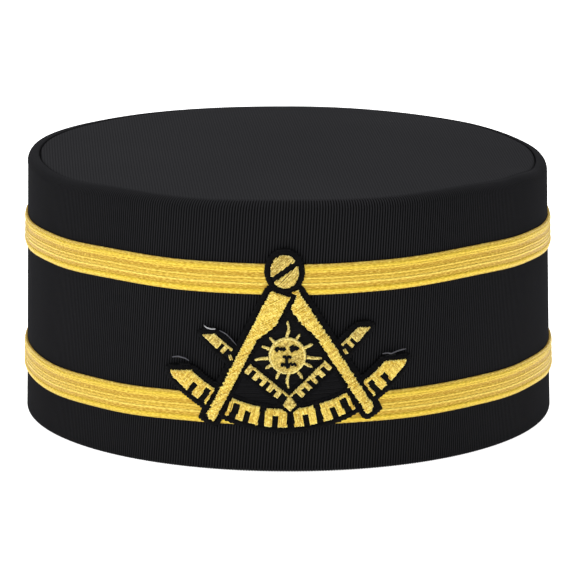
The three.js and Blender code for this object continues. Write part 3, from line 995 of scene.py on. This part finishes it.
def layStitches(stitches, style):
    points, quads, strands, ends = [], [], [], []
    turn = math.radians(emblem["turn"])
    for start, end in stitches:
        along = np.asarray(end) - np.asarray(start)
        length = np.linalg.norm(along)
        along = along / length
        across = np.array([-along[1], along[0]])
        start = start - along * chance.normal(0, style["ragged"])
        end = end + along * chance.normal(0, style["ragged"])
        length = max(np.linalg.norm(end - start), 0.2)
        turnIn = min(style["turnIn"], length / 2.2)
        near = np.array([0, 0.18, 0.5, 1.0]) * turnIn
        middle = max(1, int(length / style["step"]))
        run = np.r_[near, np.linspace(turnIn, length - turnIn, middle + 2)[1:-1], (length - near)[::-1]]
        fromEnd = np.minimum(run, length - run)
        bend = np.sqrt(np.clip(1 - (1 - np.clip(fromEnd / turnIn, 0, 1)) ** 2, 0, 1))
        dome = 1 - style["dome"] * (2 * run / length - 1) ** 2
        high = style["high"] + chance.normal(0, style["uneven"])
        crest = style["low"] + (high - style["low"]) * bend * dome
        vary = 1 + chance.normal(0, style["widthVary"])
        half = style["pitch"] / 2 * style["fat"] * (0.55 + 0.45 * bend) * vary
        sway = chance.normal(0, style["sway"]) * np.sin(math.pi * run / length)
        line = start + along * run[:, None] + across * sway[:, None]
        for side, drop in strandSection:
            spot = line + across * (side * half)[:, None]
            if drop is None:
                out = np.full(len(run), style["low"] - style["skirt"])
            else:
                out = crest - drop * style["relief"] * (0.3 + 0.7 * bend)
            x = emblem["aside"] + spot[:, 0] * math.cos(turn) - spot[:, 1] * math.sin(turn)
            height = emblem["height"] + spot[:, 0] * math.sin(turn) + spot[:, 1] * math.cos(turn)
            points.append(np.stack([x, height, out], -1))
        first = sum(len(part) for part in ends)
        quads.append(gridQuads(len(strandSection), len(run)) + first)
        strands.append(np.full(len(run) * len(strandSection), chance.random()))
        # painted highlight: a strand is paler near its ends, and by its style's pale share all along
        ends.append(np.tile(1 - bend * (1 - style["pale"]), len(strandSection)))
    flat = np.concatenate(points)
    places = frontPoint(flat[:, 0], flat[:, 1], flat[:, 2])
    return places, np.concatenate(quads), np.concatenate(strands), np.concatenate(ends)


def makeStitched(name, groups, finish, replaced=()):
    points, quads, strands, ends, count = [], [], [], [], 0
    for stitches, style in groups:
        laid = layStitches(stitches, style)
        points.append(laid[0])
        quads.append(laid[1] + count)
        strands.append(laid[2])
        ends.append(laid[3])
        count += len(laid[0])
    values = {"strand": np.concatenate(strands), "end": np.concatenate(ends)}
    makePiece(name, np.concatenate(points), np.concatenate(quads), finish, values, replaced)


# how stitches are laid, in millimetres: low and high are how far their ends and crests stand out
goldStyle = {
    "pitch": 0.38,
    "fat": 1.15,  # width beside the pitch
    "widthVary": 0.06,
    "low": emblem["threadBase"],
    "high": emblem["threadFace"],
    "relief": 0.3,
    "skirt": 0.1,
    "turnIn": 0.7,
    "dome": 0.22,
    "step": 2.2,
    "ragged": 0.08,
    "uneven": 0.08,
    "sway": 0.05,
    # how much painted highlight a strand has all along, besides at its ends
    "pale": 0.0,
}
groundStyle = {
    **goldStyle,
    "pitch": 0.6,
    "low": 1.1,
    "high": 1.62,
    "relief": 0.1,
    "skirt": 0,
    "turnIn": 0.5,
    "dome": 0,
    "step": 4,
    "ragged": 0.05,
    "uneven": 0.02,
}
edgeStyle = {
    **goldStyle,
    "pitch": 0.5,
    "low": 0.3,
    "high": 1.86,
    "relief": 0.12,
    "turnIn": 0.9,
    "dome": 0.05,
    "step": 3,
    "ragged": 0.07,
    "uneven": 0.03,
}


def bothLegs(grow):
    return mirrored(legOutline(compasses["leftBlade"], grow)), legOutline(compasses["rightBlade"], grow)


# the sun stands upright on the turned emblem
def sunOutlines(grow):
    across = 2 * sun["radius"] + 2 * grow
    shapes = [ellipse((0, 0), across, across, 48), *[rayOutline(ray, grow) for ray in sun["rays"]]]
    return [spun(shape, -emblem["turn"]) for shape in shapes]


leftLeg, rightLeg = bothLegs(0)
leftGap, rightGap = bothLegs(emblem["threadGap"])
leftCross = mirrored(legOutline(compasses["leftBlade"], compasses["crossGap"]))
headHole = headOutline(compasses["headGap"])
discOutline, *rayOutlines = sunOutlines(0)
sunHoles = sunOutlines(emblem["threadGap"])


def rounded(outline, cut):  # twice, so that a corner becomes a soft bend
    for reach in (cut, cut * 0.4):
        points = np.asarray(outline)
        ahead = np.roll(points, -1, 0) - points
        size = np.linalg.norm(ahead, axis=1)[:, None]
        step = ahead / np.maximum(size, 1e-6) * np.minimum(reach, size / 3)
        outline = np.stack([points + step, np.roll(points, -1, 0) - step], 1).reshape(-1, 2)
    return outline


# the black ground: level stitches between the legs and a raised black border round every shape
border, midLeg = emblem["border"], compasses["legWidth"] / 2
halfGround = [besideLeg(0, midLeg), besideLeg(legLength - border - midLeg, midLeg)]
arcEnds = quadrant["outside"]["end"], quadrant["inside"]["start"]
halfGround += alongTo(onArc, *arcEnds, quadrant["band"] / 2, 4)
arcLength = math.radians(quadrant["span"]) * (quadrant["inner"] + quadrant["band"])
armBorder = stripBorder(onArm, square["band"], square["arm"], square["tip"], 1)
arcBorder = stripBorder(onArc, quadrant["band"], arcLength, quadrant["tip"], 12)
borders = [headOutline(border), *bothLegs(border)[::-1]]
borders += [armBorder, arcBorder, mirrored(armBorder), mirrored(arcBorder)]
borders = [rounded(outline, emblem["borderRound"]) for outline in borders]
ground = halfGround + mirrored(halfGround)
groundFill = fillStitches([ground, *borders], [], 0, groundStyle["pitch"])
borderStitches = []
for outline in borders:
    borderStitches += edgeStitches(outline, border + emblem["borderOverlap"], edgeStyle["pitch"])
makeStitched("black_ground", [(groundFill, groundStyle)], groundSatin, ["emblem_patch"])
makeStitched("black_border", [(borderStitches, edgeStyle)], satin, ["emblem_patch"])

# the compasses
legStyle = {**goldStyle, "pitch": 0.44, "dome": 0.26, "ragged": 0.16}
headStitches = fillStitches([headOutline(0)], [slotOutline()], compasses["headSlant"], goldStyle["pitch"])
makeStitched("head_stitches", [(headStitches, goldStyle)], paleGold, ["compasses_head"])
for sideName, leg, holes in (("left", leftLeg, [headHole]), ("right", rightLeg, [headHole, leftCross])):
    stitches = fillStitches([leg], holes, compasses[f"{sideName}Slant"], legStyle["pitch"])
    name, node = f"{sideName}_leg_stitches", f"compasses_leg_{sideName}"
    makeStitched(name, [(stitches, legStyle)], threadGold, [node])

# the sun: a stitched disc with a ring round it, and a rounded bar of stitches for each ray
sunStyle = {**goldStyle, "pitch": 0.4, "dome": 0.12, "high": 2.6}
# the ring and the rays carry a painted highlight all along their strands
ringStyle = {**goldStyle, "pitch": 0.38, "high": 2.8, "turnIn": 0.3, "ragged": 0.05, "pale": 0.7}
rayStyle = {**goldStyle, "pitch": 0.36, "high": 2.7, "turnIn": 0.4, "ragged": 0.06, "pale": 0.5}
discStitches = fillStitches([discOutline], [leftGap, rightGap], sun["slant"], sunStyle["pitch"])
ringStitches = edgeStitches(discOutline, sun["ringStitch"], ringStyle["pitch"])
sunGroups = [(discStitches, sunStyle), (ringStitches, ringStyle)]
for ray, outline in zip(sun["rays"], rayOutlines):
    squareTo = ray[0] - emblem["turn"] + 90
    bars = fillStitches([outline], [discOutline, leftGap, rightGap], squareTo, rayStyle["pitch"])
    sunGroups.append((bars, rayStyle))
makeStitched("sun_stitches", sunGroups, paleGold, ["sun"])
faceStyle = {
    **goldStyle,
    "pitch": 1.0,
    "low": 2.65,
    "high": 3.1,
    "relief": 0.12,
    "turnIn": 0.15,
    "dome": 0.02,
    "ragged": 0.05,
}
faceStitches = []
for line in sun["face"]:
    corners = spun(line, -emblem["turn"])
    faceStitches += list(zip(corners[:-1], corners[1:]))
makeStitched("face_stitches", [(faceStitches, faceStyle)], satin)

# the square
# the square's strands carry a faint painted highlight all along
squareStyle = {**goldStyle, "dome": 0.15, "pale": 0.1}
arm = combOutline(onArm, square, square["arms"], 1)
squareHoles = [leftGap, rightGap, *sunHoles]
rightArm = fillStitches([arm], squareHoles, square["angle"] - 90, squareStyle["pitch"])
leftArm = fillStitches([mirrored(arm)], squareHoles, 90 - square["angle"], squareStyle["pitch"])
diamond = fillStitches([diamondOutline(0)], sunHoles, 0, squareStyle["pitch"])
squareStitches = rightArm + leftArm + diamond
makeStitched("square_stitches", [(squareStitches, squareStyle)], paleGold, ["square_angle"])

# the ends of the square and the blocks of the quadrant, right and left
diamondHole = diamondOutline(emblem["threadGap"])
for sideName, facing, sign in (("right", list, 1), ("left", mirrored, -1)):
    tip = facing(combOutline(onArm, square, square["tip"], 1))
    stitches = fillStitches([tip], [leftGap, rightGap], sign * (square["angle"] - 90), squareStyle["pitch"])
    stitches += [tuple(spun(line, -emblem["turn"])) for line in square["strayStitches"][sideName]]
    node = f"square_tip_{sideName}"
    makeStitched(f"{node}_stitches", [(stitches, squareStyle)], paleGold, [node])
    for part, strip, holes in (
        ("inner", quadrant["inside"], [leftGap, rightGap, diamondHole]),
        ("outer", quadrant["outside"], [leftGap, rightGap, diamondHole]),
        ("tip", quadrant["tip"], [leftGap, rightGap]),
    ):
        shape = facing(combOutline(onArc, quadrant, strip, 4))
        middle = (strip["start"] + strip.get("end", 1)) / 2
        stitches = fillStitches([shape], holes, sign * (middle * quadrant["span"] - 90), goldStyle["pitch"])
        node = f"quadrant_{part}_{sideName}"
        makeStitched(f"{node}_stitches", [(stitches, goldStyle)], threadGold, [node])

# loose ends of thread that lie beside the emblem: across, up and out from the wall
looseThread = {
    "radius": 0.24,
    "sides": 6,
    "white": [
        [
            (-26.5, 46.3, 1.6),
            (-25.6, 45.7, 1.9),
            (-24.5, 45.4, 1.9),
            (-23.6, 45.35, 1.8),
            (-22.8, 45.4, 1.5),
        ],
    ],
    "grey": [
        [
            (29.4, 37.0, 1.5),
            (31, 37.2, 1.7),
            (32.2, 36.8, 1.5),
            (33.6, 37.3, 1.7),
            (35.2, 37.7, 1.6),
            (36.9, 37.8, 1.3),
        ],
        [(-36.6, 35.2, 1.2), (-34.6, 35.7, 1.5), (-32.4, 35.3, 1.5), (-31.2, 34.6, 1.2)],
        [(-21.6, 45.0, 1.5), (-19.4, 44.0, 1.7), (-17.4, 42.0, 1.7), (-15.8, 40.0, 1.3)],
    ],
}


def threadFinish(name, tone, dull):
    finish = Finish(name)
    fuzz = finish.noise(2400, 2)
    colour = finish.blend(fuzz, tone, dull)
    finish.feed(finish.surface, {"Base Color": colour, "Roughness": 0.7 + fuzz * 0.2})
    return finish.material


def makeLooseThread(name, paths, finish):
    points, quads, count = [], [], 0
    turn = np.arange(looseThread["sides"]) * 2 * math.pi / looseThread["sides"]
    for path in paths:
        knots = np.array(path)
        way = np.linspace(0, len(knots) - 1, 6 * len(knots))
        line = np.stack([np.interp(way, np.arange(len(knots)), knots[:, i]) for i in range(3)], -1)
        for _ in range(3):  # soften the bends
            line[1:-1] = (line[:-2] + 2 * line[1:-1] + line[2:]) / 4
        thin = looseThread["radius"] * np.sin(math.pi * np.linspace(0.04, 0.96, len(line))) ** 0.3
        circle = np.stack([np.zeros(len(turn)), np.cos(turn), np.sin(turn)], -1)
        ring = line[:, None] + thin[:, None, None] * circle[None]
        points.append(ring.reshape(-1, 3))
        quads.append(gridQuads(len(line), looseThread["sides"], ringColumns=True) + count)
        count += ring.shape[0] * ring.shape[1]
    flat = np.concatenate(points)
    spots = frontPoint(flat[:, 0], flat[:, 1], flat[:, 2])
    makePiece(name, spots, np.concatenate(quads), finish, {})


whiteThread = threadFinish("white_thread", linear(190, 190, 192), linear(140, 140, 144))
makeLooseThread("white_thread", looseThread["white"], whiteThread)
greyThread = threadFinish("grey_thread", linear(86, 86, 92), linear(54, 54, 60))
makeLooseThread("grey_thread", looseThread["grey"], greyThread)

# the studio
floor = bpy.data.meshes.new("floor")
far = studio["floorReach"]
floor.from_pydata([(-far, -far, 0), (far, -far, 0), (far, far, 0), (-far, far, 0)], [], [(0, 1, 2, 3)])
floor.materials.append(floorFinish())
floorPiece = bpy.data.objects.new("floor", floor)
bpy.context.scene.collection.objects.link(floorPiece)

world = bpy.data.worlds.new("studio")
world.use_nodes = True
world.node_tree.nodes["Background"].inputs["Color"].default_value = (1, 1, 1, 1)
world.node_tree.nodes["Background"].inputs["Strength"].default_value = studio["surround"]
bpy.context.scene.world = world
bpy.context.scene.view_settings.view_transform = "Standard"
for lamp in studio["lights"]:
    light = bpy.data.lights.new(lamp["name"], "AREA")
    light.shape, light.size, light.energy = "SQUARE", lamp["size"], lamp["power"]
    shown = bpy.data.objects.new(lamp["name"], light)
    shown.location = lamp["place"]
    x, y, z = np.array(studio["aim"]) - np.array(lamp["place"])
    shown.rotation_euler = (math.atan2(math.hypot(x, y), -z), 0, math.atan2(y, x) - math.pi / 2)
    bpy.context.scene.collection.objects.link(shown)
print("studio lit")
